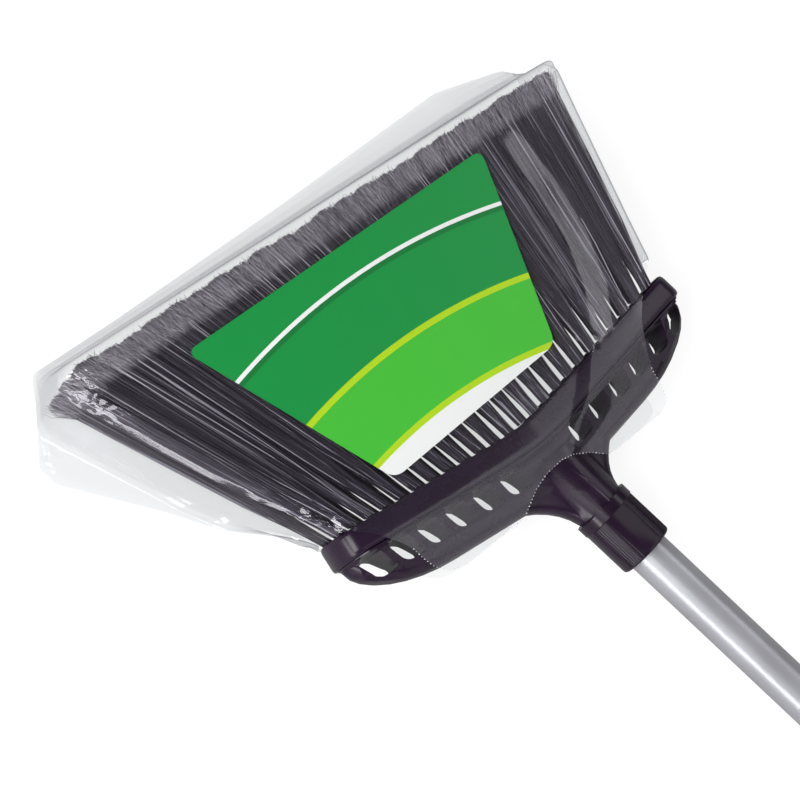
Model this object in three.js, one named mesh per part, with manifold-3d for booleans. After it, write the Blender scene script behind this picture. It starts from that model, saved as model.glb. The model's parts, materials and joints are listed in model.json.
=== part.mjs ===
// An angle broom with a screw-on one inch steel handle, packed in its clear sales bag.
// Millimetres. The handle's axis is Y, the long-fibre side is +X, the labelled face is up (+Z).
// Sizes are set in that frame. At the end the whole broom is tipped a little, so that it lies
// on the floor on the bag and on the comfort grip, as it does when it is put down.
import * as THREE from "three";
import { mergeVertices } from "three/addons/utils/BufferGeometryUtils.js";
import Module from "manifold-3d";

const wasm = await Module();
wasm.setup();

// Clearances
const SEAT = 0.3; // between pieces that rest on or fit in each other
const OVERRUN = 2; // how far a cutter runs past what it cuts
const SLIT = 0.35; // between neighbouring fibre slices

// The bar's middle line: two arms that meet in a shallow bend
const ARM_LENGTH = 135;
const ARM_ANGLE = THREE.MathUtils.degToRad(15.5);
const BEND_RADIUS = 150;
const BEND_X = 4;
const BEND_Y = -72.8;

// Fibre block
const BAR_HEIGHT = 15;
const BAR_THICK = 44;
const BAR_CORNER = 3;
const BAR_END_ROUND = 12;
const POCKET_RIM = 1.6;
const POCKET_DEPTH = 3.5;
const KEY_LENGTH = 22;
const KEY_HEIGHT = 9;
const KEY_THICK = 12;
const cornerShare = 0.8; // the most of the bar's half thickness that a rounded edge takes

// Head shell
const SHELL_HEIGHT = 27; // above the block
const SHELL_BASE_THICK = 41;
const SHELL_LEDGE = 1.2; // height of its edge along the block
const SHELL_COVE = 6; // height of the cove from that edge up to the slotted face
const SHELL_TOP_THICK = 21;
const SHELL_TAPER = 3; // how much thicker the slotted face is at its foot
const SHELL_END_SWELL = 12; // and at the ends of the arms
const SWELL_LENGTH = 22;
const SHELL_STEP = 2; // how far its ends stop short of the block's
const SHOULDER_LENGTH = 60;
const SHELL_END_ROUND = 13;

// Neck, socket and webs
const NECK_TOP = 3;
const NECK_WALL = 2;
const SOCKET_DEPTH = 51;
const BOSS_FLOOR = 12;
const WEB_THICK = 14;
const WEB_LIP = 1; // how far the webs stand out from the neck under the collar
const WEB_BLEND = 8; // size of the hollow where the neck flows into the webs
const WEB_GAP = 0.7; // from the collar down to the webs
const WEB_SHORT_REACH = 35;
const WEB_SHORT_DROP = 27;
const WEB_LONG_REACH = 45;
const WEB_LONG_DROP = 40;
const WEB_ROOT = 6; // how deep the web runs into the arms
const webOutShare = 0.12; // where the curve of a web's edge bends
const webDownShare = 0.67;
const WEB_ROUNDING = 8; // how late a web's face turns into its edge: a power, not a length

// Slots
const SLOT_COUNT = 6;
const SLOT_PITCH = 18.8;
const SLOT_FIRST_SHORT = 26.5;
const SLOT_FIRST_LONG = 22.5;
const SLOT_WIDTH = 14;
const SLOT_HEIGHT = 14.5;
const SLOT_FLOOR = 1; // web of plastic left between a slot and the block
const SLOT_RIM = 3.2; // plastic left between a slot and the head's outline
const SLOT_CORNER = 4.6;

// Fibre
const COLUMNS = 24;
const ROW_COUNT = 4;
const COLUMN_INSET = 10.5; // from the block's end to the outermost tufts
const ROW_INSET = 0.85; // from a slice's edge to the tufts along it
const STRAND_ROOT = 1.5; // distance of a strand's corners from its middle
const STRAND_TIP = 1.15;
const TUFT_ROOT = 1.55; // distance of a tuft's strands from its middle
const TUFT_TIP = 2.7;
const STRAND_SINK = 1;
const TIP_SHORT_X = -176;
const TIP_LONG_X = 171;
const TIP_Y = -246; // on the handle's axis
const TIP_THICK = 53;
const CUT_ANGLE = THREE.MathUtils.degToRad(11.15); // of the tips, which fall towards the long side

// Handle
const TUBE_RADIUS = 12.7;
const TUBE_WALL = 0.8;
const TUBE_LENGTH = 1219;
const PLUG_FACE = 2.8;
const PLUG_SKIRT = 20;
const PLUG_WALL = 1.8;
const RING_HEIGHT = 3;

// Collar
const COLLAR_LOW = -16.9;
const COLLAR_HIGH = 19.7;
const COLLAR_WALL = 2.2;
const COLLAR_ROUND = 2;
const FLANGE_LIP = 0.5;
const FLANGE_HEIGHT = 6.8;
const PANEL_COUNT = 4;
const PANEL_ANGLE = THREE.MathUtils.degToRad(36);
const PANEL_TURN = THREE.MathUtils.degToRad(57);
const PANEL_DEPTH = 0.8;
const PANEL_LAND = 1.2; // from the panel to the collar's top edge
const FLUTES = 6;
const FLUTE_DEPTH = 0.5;

// Cap and grip
const CAP_WALL = 2;
const CAP_SKIRT = 24;
const CAP_SHOULDER = 10;
const CAP_ROUND = 4;
const EYE_REACH = 32;
const EYE_WIDTH = 24;
const EYE_THICK = 7;
const EYE_HOLE = 10;
const GRIP_LENGTH = 180;
const GRIP_WALL = 2.6;
const GRIP_ROUND = 1.6;
const GROOVES = 9;
const GROOVE_PITCH = 8;
const GROOVE_WIDTH = 3;
const GROOVE_DEPTH = 0.8;
const GROOVE_START = 14;

// Card
const CARD_THICK = 0.4;
const CARD_ROUND = 7;
const FACE_INSET = 2; // the fibre's labelled face lies this much lower than the block's
const FACE_LIFT = 2.4; // and this much above the middles of the outer strands at the tips

// Bag
const FILM = 0.4; // drawn thicker than real film, so that it is a solid
const FILM_LIFT = 0.35; // film to what it covers
const LIP_RISE = 14; // how far the film stands above the shell before it is cut
const LIP_GAP = 16; // between the two films there
const END_SLACK = 15; // past the ends of the head
const CLOSE_DROP = 36; // from the block to where the film has closed round the fibre
const CLOSE_SHORT_SLACK = 1;
const CLOSE_LONG_SLACK = 11;
const FLAP_RISE = 22; // from the tips up to the widest place of the bag's slack side
const FLAP_SHORT_SLACK = 2;
const FLAP_LONG_SLACK = 30;
const FLAP_HEIGHT = 3; // of the hollow between its two films
const TIP_SLACK = 12;
const SEAL_DROP = 22; // from the tips to the sealed edge
const SEAL_SHORT_SLACK = 8;
const SEAL_LONG_INSET = 8;
const SEAL_THICK = 2.4;
const FALL_HEIGHT = 26; // of the film above the floor half way down to its seal
const REST_LIFT = 3.7; // from the floor up to the fibre at the tips
const NOTCH_SHORT = 25; // the cut round the neck, from the handle's axis
const NOTCH_LONG = 42;

// Derived sizes
const BAR_HALF = BAR_HEIGHT / 2;
const SEAM = BAR_HALF + SEAT;
const SHELL_TOP = BAR_HALF + SHELL_HEIGHT;
const SOCKET_RADIUS = TUBE_RADIUS + SEAT;
const SOCKET_BOTTOM = NECK_TOP - SOCKET_DEPTH;
const BOSS_BOTTOM = SOCKET_BOTTOM - BOSS_FLOOR;
const NECK_RADIUS = SOCKET_RADIUS + NECK_WALL;
const WEB_TOP = COLLAR_LOW - WEB_GAP;
const COLLAR_RADIUS = NECK_RADIUS + SEAT + COLLAR_WALL;
const FLANGE_RADIUS = COLLAR_RADIUS + FLANGE_LIP;
const TUBE_START = SOCKET_BOTTOM + SEAT + PLUG_FACE + SEAT;
const TUBE_END = TUBE_START + TUBE_LENGTH;
const CAP_RADIUS = TUBE_RADIUS + SEAT + CAP_WALL;
const GRIP_RADIUS = TUBE_RADIUS + SEAT + GRIP_WALL;
const GRIP_END = TUBE_END - CAP_SKIRT - SEAT;
const REST_DROP = TIP_THICK / 2 + REST_LIFT; // from the handle's axis down to the floor at the tips
const TIPPING = Math.atan((REST_DROP - GRIP_RADIUS) / (GRIP_END - TIP_Y));
const floorAt = (y) => -REST_DROP + (y - TIP_Y) * Math.tan(TIPPING);

// A line is where a cut like the one across the tips crosses the handle's axis
const CUT_SLOPE = Math.tan(CUT_ANGLE);
const cutLine = (x, line) => line - CUT_SLOPE * x;
const lineOf = (x, y) => y + CUT_SLOPE * x;
const FACE_LINE = BEND_Y - BAR_HALF;
const FACE_START = BAR_THICK / 2 - FACE_INSET;
const FACE_RISE = (TIP_THICK / 2 + FACE_LIFT - FACE_START) / (FACE_LINE - TIP_Y);
const faceAt = (line) => FACE_START + FACE_RISE * (FACE_LINE - line);

// Solids from three.js geometry
function solid(geometry) {
  const plain = geometry.clone();
  plain.deleteAttribute("normal");
  plain.deleteAttribute("uv");
  const merged = mergeVertices(plain);
  return new wasm.Manifold(
    new wasm.Mesh({
      numProp: 3,
      vertProperties: new Float32Array(merged.attributes.position.array),
      triVerts: new Uint32Array(merged.index.array),
    }),
  );
}

function geometryOf(manifold) {
  const mesh = manifold.getMesh();
  const geometry = new THREE.BufferGeometry();
  geometry.setAttribute("position", new THREE.BufferAttribute(new Float32Array(mesh.vertProperties), 3));
  geometry.setIndex(new THREE.BufferAttribute(new Uint32Array(mesh.triVerts), 1));
  geometry.computeVertexNormals();
  return geometry;
}

// A skin over rings of points, closed at both ends. Every ring has as many points as the first.
function loft(rings) {
  const count = rings[0].length;
  const points = rings.flat();
  const faces = [];
  for (let i = 0; i + 1 < rings.length; i += 1) {
    for (let j = 0; j < count; j += 1) {
      const a = i * count + j;
      const b = i * count + ((j + 1) % count);
      faces.push(a, b, b + count, a, b + count, a + count);
    }
  }
  // Each end is a fan from its first point, or from its middle where the end may be hollowed
  const capEnd = (start, reversed) => {
    const middle = new THREE.Vector3();
    for (let j = 0; j < count; j += 1) middle.add(points[start + j]);
    if (count > 3) points.push(middle.divideScalar(count));
    const hub = count > 3 ? points.length - 1 : start;
    for (let j = 0; j < count; j += 1) {
      const edge = [start + j, start + ((j + 1) % count)];
      if (reversed) edge.reverse();
      if (!edge.includes(hub)) faces.push(hub, ...edge);
    }
  };
  capEnd(0, true);
  capEnd((rings.length - 1) * count, false);
  const geometry = new THREE.BufferGeometry().setFromPoints(points);
  geometry.setIndex(faces);
  const made = solid(geometry);
  if (made.volume() > 0) return made;
  geometry.setIndex(faces.reverse());
  return solid(geometry);
}

function turned(profile, sides) {
  const lathe = new THREE.LatheGeometry(
    profile.map(([radius, y]) => new THREE.Vector2(radius, y)),
    sides,
  );
  return solid(lathe);
}

function plate(shape, low, high, steps = 6) {
  const geometry = new THREE.ExtrudeGeometry(shape, {
    depth: high - low,
    bevelEnabled: false,
    curveSegments: steps,
  });
  return geometry.translate(0, 0, low);
}

// A closed outline through corner points, each corner rounded
function roundedShape(corners, round) {
  const shape = new THREE.Shape();
  corners.forEach((corner, i) => {
    const before = corners[(i + corners.length - 1) % corners.length];
    const after = corners[(i + 1) % corners.length];
    const start = corner.clone().add(before.clone().sub(corner).setLength(round));
    const end = corner.clone().add(after.clone().sub(corner).setLength(round));
    if (i === 0) shape.moveTo(start.x, start.y);
    else shape.lineTo(start.x, start.y);
    shape.quadraticCurveTo(corner.x, corner.y, end.x, end.y);
  });
  shape.closePath();
  return shape;
}

// Places along the head: along the bar, up across it towards the handle, and out of its face
const BEND_HALF = (BEND_RADIUS * ARM_ANGLE) / 2;
const BEND_TANGENT = BEND_RADIUS * Math.tan(ARM_ANGLE / 2);

function headingAt(along) {
  return -ARM_ANGLE * THREE.MathUtils.clamp((along + BEND_HALF) / (2 * BEND_HALF), 0, 1);
}

function onHead(along, up, out) {
  const heading = headingAt(along);
  const place = new THREE.Vector3(BEND_X - BEND_TANGENT, BEND_Y, out);
  const turn = -heading;
  place.x += BEND_RADIUS * Math.sin(turn);
  place.y -= BEND_RADIUS * (1 - Math.cos(turn));
  const rest = along + BEND_HALF - BEND_RADIUS * turn;
  place.x += rest * Math.cos(heading) - up * Math.sin(heading);
  place.y += rest * Math.sin(heading) + up * Math.cos(heading);
  return place;
}

// Stations along the bar, closer at its rounded ends
const firstStepShare = 0.6;

function stations(reach, endRound, endSteps = 6, middleSteps = 12) {
  const inner = reach - endRound;
  const list = [];
  for (let i = 0; i < endSteps; i += 1) {
    const share = (i + firstStepShare) / (endSteps + firstStepShare);
    list.push(-inner - endRound * Math.cos((share * Math.PI) / 2));
  }
  for (let i = 0; i <= middleSteps; i += 1) list.push(-inner + (2 * inner * i) / middleSteps);
  for (let i = endSteps - 1; i >= 0; i -= 1) list.push(-list[i]);
  return list;
}

// Share of the full thickness that is left at a place near a rounded end
function endShare(along, reach, endRound) {
  const past = Math.max(0, Math.abs(along) - (reach - endRound)) / endRound;
  return Math.sqrt(Math.max(0, 1 - past * past));
}

const barHalfAt = (along) => (BAR_THICK / 2) * endShare(along, ARM_LENGTH, BAR_END_ROUND);

// A run through places along the bar, with square edges
function run(list, low, high, halfAt) {
  const rings = list.map((along) => {
    const half = halfAt(along);
    return [
      onHead(along, low, -half),
      onHead(along, high, -half),
      onHead(along, high, half),
      onHead(along, low, half),
    ];
  });
  return loft(rings);
}

// The pocket in the block's underside, which the fibre slices fill
const POCKET_REACH = ARM_LENGTH - BAR_END_ROUND / 2;
const POCKET_STATIONS = stations(POCKET_REACH, BAR_END_ROUND / 2, 3, 16);
const pocketHalfAt = (along) => barHalfAt(along) - POCKET_RIM;
const sliceHalfAt = (along) => pocketHalfAt(along) - SEAT;

function fibreBlock() {
  const rings = stations(ARM_LENGTH, BAR_END_ROUND).map((along) => {
    const half = barHalfAt(along);
    const corner = Math.min(BAR_CORNER, half * cornerShare);
    const ring = [];
    for (let quarter = 0; quarter < 4; quarter += 1) {
      const signUp = quarter === 0 || quarter === 3 ? 1 : -1;
      const signOut = quarter < 2 ? 1 : -1;
      for (let step = 0; step <= 3; step += 1) {
        const angle = ((quarter + step / 3) * Math.PI) / 2;
        ring.push(
          onHead(
            along,
            signUp * (BAR_HALF - BAR_CORNER) + BAR_CORNER * Math.cos(angle),
            signOut * (half - corner) + corner * Math.sin(angle),
          ),
        );
      }
    }
    return ring;
  });
  const keyTop = BAR_HALF + KEY_HEIGHT;
  return loft(rings)
    .add(run([-KEY_LENGTH / 2, 0, KEY_LENGTH / 2], 0, keyTop, () => KEY_THICK / 2))
    .subtract(run(POCKET_STATIONS, -BAR_HALF - OVERRUN, -BAR_HALF + POCKET_DEPTH, pocketHalfAt));
}

// Fibre. Each strand is straight, and the fan from root to tip keeps their order, so none cross.
const FIRST_COLUMN = ARM_LENGTH - COLUMN_INSET;
const COLUMN_PITCH = (2 * FIRST_COLUMN) / (COLUMNS - 1);
const OUTER_ROW = BAR_THICK / 2 - POCKET_RIM - SEAT - ROW_INSET - TUFT_ROOT - STRAND_ROOT;
const ROW_PITCH = (2 * OUTER_ROW) / (ROW_COUNT - 1);
const FLARE = TIP_THICK / (2 * (OUTER_ROW + TUFT_TIP));

function tipAt(along, aside, out) {
  const share = (along + FIRST_COLUMN) / (2 * FIRST_COLUMN);
  const x = TIP_SHORT_X + share * (TIP_LONG_X - TIP_SHORT_X) + aside;
  return new THREE.Vector3(x, cutLine(x, TIP_Y), out * FLARE);
}

function strand(along, out, turn) {
  const sideways = Math.cos(turn);
  const outward = Math.sin(turn);
  const root = onHead(along + TUFT_ROOT * sideways, -BAR_HALF + STRAND_SINK, out + TUFT_ROOT * outward);
  const tip = tipAt(along, TUFT_TIP * sideways, out + TUFT_TIP * outward);
  const rings = [
    [root, STRAND_ROOT],
    [tip, STRAND_TIP],
  ].map(([place, size]) =>
    [0, 1, 2].map((corner) => {
      const angle = turn + (corner * 2 * Math.PI) / 3;
      return new THREE.Vector3(place.x + size * Math.cos(angle), place.y, place.z + size * Math.sin(angle));
    }),
  );
  return loft(rings);
}

// The block's slices part halfway between two tufts
function sliceEnd(part, parts) {
  const reach = POCKET_STATIONS[POCKET_STATIONS.length - 1] - SEAT;
  if (part === 0) return -reach;
  if (part === parts) return reach;
  const before = Math.round((part / parts) * (2 * COLUMNS - 1));
  return -FIRST_COLUMN + ((before - 1 / 2) * COLUMN_PITCH) / 2;
}

function bristles(part, parts) {
  const from = sliceEnd(part, parts) + (part > 0 ? SLIT / 2 : 0);
  const to = sliceEnd(part + 1, parts) - (part + 1 < parts ? SLIT / 2 : 0);
  const list = [from, ...POCKET_STATIONS.filter((along) => along > from && along < to), to];
  let made = run(list, -BAR_HALF, -BAR_HALF + POCKET_DEPTH - SEAT, sliceHalfAt);
  for (let row = 0; row < ROW_COUNT; row += 1) {
    const shifted = row % 2;
    const out = row * ROW_PITCH - OUTER_ROW;
    for (let column = 0; column < COLUMNS - shifted; column += 1) {
      const along = -FIRST_COLUMN + (column + shifted / 2) * COLUMN_PITCH;
      const inPart = along > from && along < to;
      for (let corner = 0; inPart && corner < 4; corner += 1) {
        made = made.add(strand(along, out, Math.PI / 4 + (corner * Math.PI) / 2));
      }
    }
  }
  return made;
}

// Head shell
const SHELL_REACH = ARM_LENGTH - SHELL_STEP;
const shellHeightAt = (along) => SHELL_HEIGHT * endShare(along, SHELL_REACH, SHOULDER_LENGTH);

// Half the thickness of the slotted face at its foot, more at the ends of the arms
function webHalfAt(along) {
  const fromEnd = THREE.MathUtils.clamp((SHELL_REACH - Math.abs(along)) / SWELL_LENGTH, 0, 1);
  return (SHELL_TOP_THICK + SHELL_TAPER + SHELL_END_SWELL * (1 - fromEnd)) / 2;
}

function armBody() {
  const arcSteps = 6;
  const coveSteps = 3;
  const rings = stations(SHELL_REACH, SHOULDER_LENGTH, 8, 10).map((along) => {
    const height = shellHeightAt(along);
    const thin = endShare(along, SHELL_REACH, SHELL_END_ROUND);
    const base = (SHELL_BASE_THICK / 2) * thin;
    const web = webHalfAt(along) * thin;
    const top = Math.min((SHELL_TOP_THICK / 2) * thin, height);
    const crown = SEAM + SLOT_FLOOR / 2 + height - top;
    const room = Math.min(1, (crown - SEAM) / (SHELL_LEDGE + SHELL_COVE));
    const side = [[SEAM, base]];
    for (let step = 0; step <= coveSteps; step += 1) {
      const angle = ((step / coveSteps) * Math.PI) / 2;
      const up = SHELL_LEDGE + SHELL_COVE * (1 - Math.cos(angle));
      side.push([SEAM + room * up, web + (base - web) * (1 - Math.sin(angle))]);
    }
    for (let step = 0; step < arcSteps / 2; step += 1) {
      const angle = (Math.PI * step) / arcSteps;
      side.push([crown + top * Math.sin(angle), top * Math.cos(angle)]);
    }
    return [
      ...side.map(([up, half]) => onHead(along, up, half)),
      onHead(along, crown + top, 0),
      ...side.reverse().map(([up, half]) => onHead(along, up, -half)),
    ];
  });
  return loft(rings);
}

// The fibre leans outwards on both sides, and the slots lean with it
function leanAt(along) {
  const line = onHead(along, -BAR_HALF, 0).sub(tipAt(along, 0, 0));
  const heading = headingAt(along);
  const forward = line.x * Math.cos(heading) + line.y * Math.sin(heading);
  const upward = line.y * Math.cos(heading) - line.x * Math.sin(heading);
  return Math.atan2(forward, upward);
}

function slotShape(along) {
  const lean = leanAt(along);
  const corners = [
    [-1, 0],
    [1, 0],
    [1, 1],
    [-1, 1],
  ].map(([side, level]) => {
    const up = SEAM + SLOT_FLOOR + level * SLOT_HEIGHT;
    const shift = (level - 1 / 2) * SLOT_HEIGHT * Math.tan(lean);
    const place = onHead(along + (side * SLOT_WIDTH) / 2 + shift, up, 0);
    return new THREE.Vector2(place.x, place.y);
  });
  return roundedShape(corners, SLOT_CORNER);
}

// All that the slots may take: the outline of the arms, less a rim
function slotRoom() {
  const reach = SHELL_REACH - SLOT_RIM;
  const rings = stations(reach, SHOULDER_LENGTH, 8, 10).map((along) => {
    const low = SEAM + SLOT_FLOOR;
    const high = Math.max(SEAM + shellHeightAt(along) - SLOT_RIM, low + SEAT);
    return [
      onHead(along, low, -BAR_THICK),
      onHead(along, high, -BAR_THICK),
      onHead(along, high, BAR_THICK),
      onHead(along, low, BAR_THICK),
    ];
  });
  return loft(rings);
}

// The neck flows into two curved webs, which run down into the arms. Each ring crosses the neck
// from the edge of one web to the edge of the other.
const neckShares = [0, 0.35, 0.65, 0.88, 1];
const webShares = [0.2, 0.5, 0.8, 0.95];

function webs() {
  const steps = 6;
  const edges = [
    [-1, WEB_SHORT_REACH, WEB_SHORT_DROP],
    [1, WEB_LONG_REACH, WEB_LONG_DROP],
  ].map(([side, reach, drop]) => {
    const start = NECK_RADIUS + WEB_LIP;
    return new THREE.QuadraticBezierCurve(
      new THREE.Vector2(side * start, WEB_TOP),
      new THREE.Vector2(side * (start + webOutShare * reach), WEB_TOP - webDownShare * drop),
      new THREE.Vector2(side * (start + reach), WEB_TOP - drop),
    );
  });
  const ringAt = (share, sink) => {
    const [short, long] = edges.map((edge) => edge.getPoint(share));
    const rim = (WEB_THICK + (SHELL_TOP_THICK - WEB_THICK) * share * share) / 2;
    const slope = (long.y - short.y) / (long.x - short.x);
    // The neck's radius at this ring, which closes in below as the boss does
    const past = Math.max(0, BOSS_BOTTOM + NECK_RADIUS - (short.y - short.x * slope));
    const radius = Math.sqrt(Math.max(0, NECK_RADIUS * NECK_RADIUS - past * past));
    const across = (edge) => {
      const reach = Math.abs(edge.x);
      const inner = Math.min(NECK_RADIUS, reach);
      return [
        ...neckShares.map((part) => part * inner),
        ...webShares.map((part) => inner + part * (reach - inner)),
      ].map((x) => {
        const round = Math.sqrt(Math.max(0, radius * radius - x * x));
        const flat = rim * Math.pow(1 - Math.pow(x / reach, WEB_ROUNDING), 1 / 2);
        const blend = Math.max(WEB_BLEND - Math.abs(round - flat), 0) / WEB_BLEND;
        return [x, Math.max(round, flat) + (blend * blend * WEB_BLEND) / 4];
      });
    };
    const shortSide = across(short).slice(1).reverse().map(([x, half]) => [-x, half]);
    const list = [...shortSide, ...across(long)];
    const placed = (x, half) => new THREE.Vector3(x, short.y + (x - short.x) * slope - sink, half);
    return [
      placed(short.x, 0),
      ...list.map(([x, half]) => placed(x, half)),
      placed(long.x, 0),
      ...list.reverse().map(([x, half]) => placed(x, -half)),
    ];
  };
  const rings = [];
  for (let i = 0; i <= steps; i += 1) rings.push(ringAt(i / steps, 0));
  rings.push(ringAt(1, WEB_ROOT));
  return loft(rings);
}

function boss() {
  const profile = [[0, BOSS_BOTTOM]];
  for (let step = 0; step <= 6; step += 1) {
    const angle = ((step / 6) * Math.PI) / 2;
    profile.push([NECK_RADIUS * Math.sin(angle), BOSS_BOTTOM + NECK_RADIUS * (1 - Math.cos(angle))]);
  }
  profile.push([NECK_RADIUS, NECK_TOP], [0, NECK_TOP]);
  return turned(profile.slice(1), 40);
}

function headShell() {
  const bore = turned(
    [
      [0, SOCKET_BOTTOM],
      [SOCKET_RADIUS, SOCKET_BOTTOM],
      [SOCKET_RADIUS, NECK_TOP + OVERRUN],
      [0, NECK_TOP + OVERRUN],
    ],
    40,
  );
  const keyHalf = KEY_LENGTH / 2 + SEAT;
  const keyTop = BAR_HALF + KEY_HEIGHT + SEAT;
  const key = run([-keyHalf, 0, keyHalf], 0, keyTop, () => KEY_THICK / 2 + SEAT);
  let made = armBody().add(webs()).add(boss()).subtract(bore).subtract(key);
  const room = slotRoom();
  for (const first of [-SLOT_FIRST_SHORT, SLOT_FIRST_LONG]) {
    for (let i = 0; i < SLOT_COUNT; i += 1) {
      const along = first + Math.sign(first) * i * SLOT_PITCH;
      const slot = solid(plate(slotShape(along), -BAR_THICK + OVERRUN, BAR_THICK - OVERRUN));
      made = made.subtract(slot.intersect(room));
    }
  }
  return made;
}

// Handle
function handleTube() {
  return turned(
    [
      [TUBE_RADIUS - TUBE_WALL, TUBE_START],
      [TUBE_RADIUS, TUBE_START],
      [TUBE_RADIUS, TUBE_END],
      [TUBE_RADIUS - TUBE_WALL, TUBE_END],
      [TUBE_RADIUS - TUBE_WALL, TUBE_START],
    ],
    40,
  );
}

function tipPlug() {
  const face = TUBE_START - SEAT;
  const skirt = TUBE_RADIUS - TUBE_WALL - SEAT;
  return turned(
    [
      [0, face - PLUG_FACE],
      [TUBE_RADIUS - PLUG_WALL, face - PLUG_FACE],
      [TUBE_RADIUS, face - PLUG_FACE / 2],
      [TUBE_RADIUS, face],
      [skirt, face],
      [skirt, face + PLUG_SKIRT],
      [skirt - PLUG_WALL, face + PLUG_SKIRT],
      [skirt - PLUG_WALL, face],
      [0, face],
    ],
    24,
  );
}

const RING_LOW = NECK_TOP + SEAT;
const RING_HIGH = RING_LOW + RING_HEIGHT;

function seatRing() {
  return turned(
    [
      [TUBE_RADIUS + SEAT, RING_LOW],
      [NECK_RADIUS, RING_LOW],
      [NECK_RADIUS, RING_HIGH],
      [TUBE_RADIUS + SEAT, RING_HIGH],
      [TUBE_RADIUS + SEAT, RING_LOW],
    ],
    32,
  );
}

// One fluted grip panel, as the cutter that leaves it in the collar's side. Its outline is drawn
// across the handle, with turn measured from the labelled face (+Z) towards +X.
function panelCutter(turn) {
  const outer = FLANGE_RADIUS + OVERRUN;
  const floor = COLLAR_RADIUS - PANEL_DEPTH;
  const half = PANEL_ANGLE / 2;
  const polar = (radius, angle) => [radius * Math.sin(angle), -radius * Math.cos(angle)];
  const shape = new THREE.Shape();
  shape.moveTo(...polar(outer, turn - half));
  const fluteSteps = 3;
  for (let i = 0; i <= FLUTES * fluteSteps; i += 1) {
    const wave = Math.abs(Math.sin((i / fluteSteps) * Math.PI));
    const angle = turn - half + (PANEL_ANGLE * i) / (FLUTES * fluteSteps);
    shape.lineTo(...polar(floor + FLUTE_DEPTH * (1 - wave), angle));
  }
  shape.lineTo(...polar(outer, turn + half));
  shape.lineTo(...polar(outer / Math.cos(half), turn));
  const geometry = plate(shape, COLLAR_LOW + FLANGE_HEIGHT, COLLAR_HIGH - PANEL_LAND);
  return solid(geometry.rotateX(-Math.PI / 2));
}

function lockingCollar() {
  const bore = NECK_RADIUS + SEAT;
  const shoulder = RING_HIGH + SEAT;
  const hole = TUBE_RADIUS + SEAT;
  const profile = [
    [bore, COLLAR_LOW],
    [FLANGE_RADIUS, COLLAR_LOW],
    [FLANGE_RADIUS, COLLAR_LOW + FLANGE_HEIGHT - (FLANGE_RADIUS - COLLAR_RADIUS)],
    [COLLAR_RADIUS, COLLAR_LOW + FLANGE_HEIGHT],
  ];
  for (let step = 0; step <= 4; step += 1) {
    const angle = ((step / 4) * Math.PI) / 2;
    profile.push([
      COLLAR_RADIUS - COLLAR_ROUND * (1 - Math.cos(angle)),
      COLLAR_HIGH - COLLAR_ROUND * (1 - Math.sin(angle)),
    ]);
  }
  profile.push([hole, COLLAR_HIGH], [hole, shoulder], [bore, shoulder], [bore, COLLAR_LOW]);
  let made = turned(profile, 60);
  for (let i = 0; i < PANEL_COUNT; i += 1) {
    made = made.subtract(panelCutter(PANEL_TURN + (i * 2 * Math.PI) / PANEL_COUNT));
  }
  return made;
}

function comfortGrip() {
  const hole = TUBE_RADIUS + SEAT;
  const low = GRIP_END - GRIP_LENGTH;
  const groove = GRIP_RADIUS - GROOVE_DEPTH;
  const profile = [
    [hole, low],
    [GRIP_RADIUS - GRIP_ROUND, low],
    [GRIP_RADIUS, low + GRIP_ROUND],
  ];
  for (let i = 0; i < GROOVES; i += 1) {
    const start = low + GROOVE_START + i * GROOVE_PITCH;
    profile.push([GRIP_RADIUS, start], [groove, start + GROOVE_WIDTH / 2], [GRIP_RADIUS, start + GROOVE_WIDTH]);
  }
  profile.push(
    [GRIP_RADIUS, GRIP_END - GRIP_ROUND],
    [GRIP_RADIUS - GRIP_ROUND, GRIP_END],
    [hole, GRIP_END],
    [hole, low],
  );
  return turned(profile, 24);
}

function hangCap() {
  const hole = TUBE_RADIUS + SEAT;
  const low = TUBE_END - CAP_SKIRT;
  const high = TUBE_END + CAP_SHOULDER;
  const profile = [
    [hole, low],
    [CAP_RADIUS, low],
    [CAP_RADIUS, high - CAP_ROUND],
  ];
  for (let step = 1; step <= 4; step += 1) {
    const angle = ((step / 4) * Math.PI) / 2;
    profile.push([
      CAP_RADIUS - CAP_ROUND * (1 - Math.cos(angle)),
      high - CAP_ROUND * (1 - Math.sin(angle)),
    ]);
  }
  profile.push([0, high], [0, TUBE_END + SEAT], [hole, TUBE_END + SEAT], [hole, low]);
  const eye = new THREE.Shape();
  const eyeY = TUBE_END + EYE_REACH;
  const half = EYE_WIDTH / 2;
  eye.moveTo(-half, high - CAP_ROUND);
  eye.lineTo(half, high - CAP_ROUND);
  eye.lineTo(half, eyeY);
  eye.absarc(0, eyeY, half, 0, Math.PI, false);
  eye.lineTo(-half, high - CAP_ROUND);
  const ring = new THREE.Path();
  ring.absarc(0, eyeY, EYE_HOLE / 2, 0, 2 * Math.PI, true);
  eye.holes.push(ring);
  return turned(profile, 40).add(solid(plate(eye, -EYE_THICK / 2, EYE_THICK / 2, 12)));
}

// Card: its corners as shares of the fibre's reach along X and of its length along Y
const cardShares = [
  [-0.26, -0.4],
  [0.48, -0.46],
  [0.67, -0.98],
  [-0.58, -0.833],
];

function labelCard() {
  const corners = cardShares.map(
    ([across, down]) => new THREE.Vector2(across * TIP_LONG_X, down * Math.abs(TIP_Y)),
  );
  const geometry = plate(roundedShape(corners, CARD_ROUND), 0, CARD_THICK, 8);
  const places = geometry.attributes.position;
  for (let i = 0; i < places.count; i += 1) {
    places.setZ(i, places.getZ(i) + faceAt(lineOf(places.getX(i), places.getY(i))) + FILM_LIFT);
  }
  return solid(geometry);
}

// Bag. A station is one ring of film: how a place across it is found, and its top and bottom.
const CARD_COVER = CARD_THICK + 2 * FILM_LIFT;
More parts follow.
